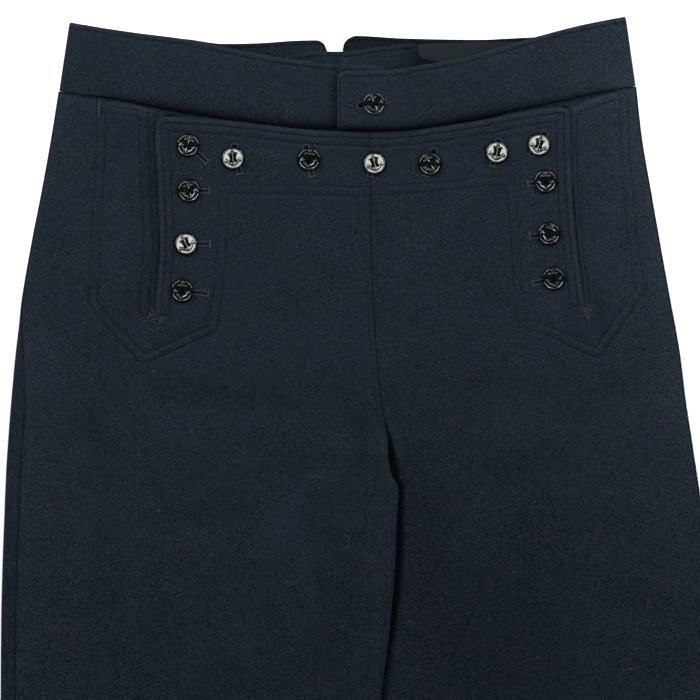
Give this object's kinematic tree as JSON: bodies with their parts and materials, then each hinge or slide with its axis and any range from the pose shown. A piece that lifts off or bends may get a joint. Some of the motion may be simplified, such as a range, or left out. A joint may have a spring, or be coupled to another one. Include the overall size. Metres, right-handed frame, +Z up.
{
  "type": "sailor trousers",
  "caption": "Wool sailor trousers laid flat, front up: a wide waistband, a drop front held by round buttons, a notched back waist and legs that widen to the hem.",
  "frame": {"origin": "middle of the base of the whole garment's box, on the surface it lies on", "axes": "+X to the wearer's left, +Y up the garment to the waist, +Z up from the surface"},
  "size_m": [0.5912, 1.0803, 0.014],
  "materials": {
    "navy_wool": "heavy felted navy wool with a short matt nap",
    "black_lining": "smooth black twill lining",
    "black_button": "polished black plastic with a raised rim"
  },
  "bodies": {
    "root": {"back_leg_right": "navy_wool", "back_leg_left": "navy_wool", "front_leg_right": "navy_wool", "front_leg_left": "navy_wool", "waistband_back_right": "navy_wool", "waistband_back_left": "navy_wool", "waistband_front_right": "navy_wool", "waistband_front_left": "navy_wool", "back_gusset": "navy_wool", "back_lining": "black_lining", "bearer_right": "navy_wool", "bearer_left": "navy_wool", "button_waist": "black_button", "button_fall_1": "black_button", "button_fall_2": "black_button", "button_fall_3": "black_button", "button_fall_4": "black_button", "button_fall_5": "black_button", "button_fall_6": "black_button", "button_fall_7": "black_button", "button_fall_8": "black_button", "button_fall_9": "black_button", "button_fall_10": "black_button", "button_fall_11": "black_button", "button_fall_12": "black_button", "button_fall_13": "black_button"}
  },
  "joints": []
}
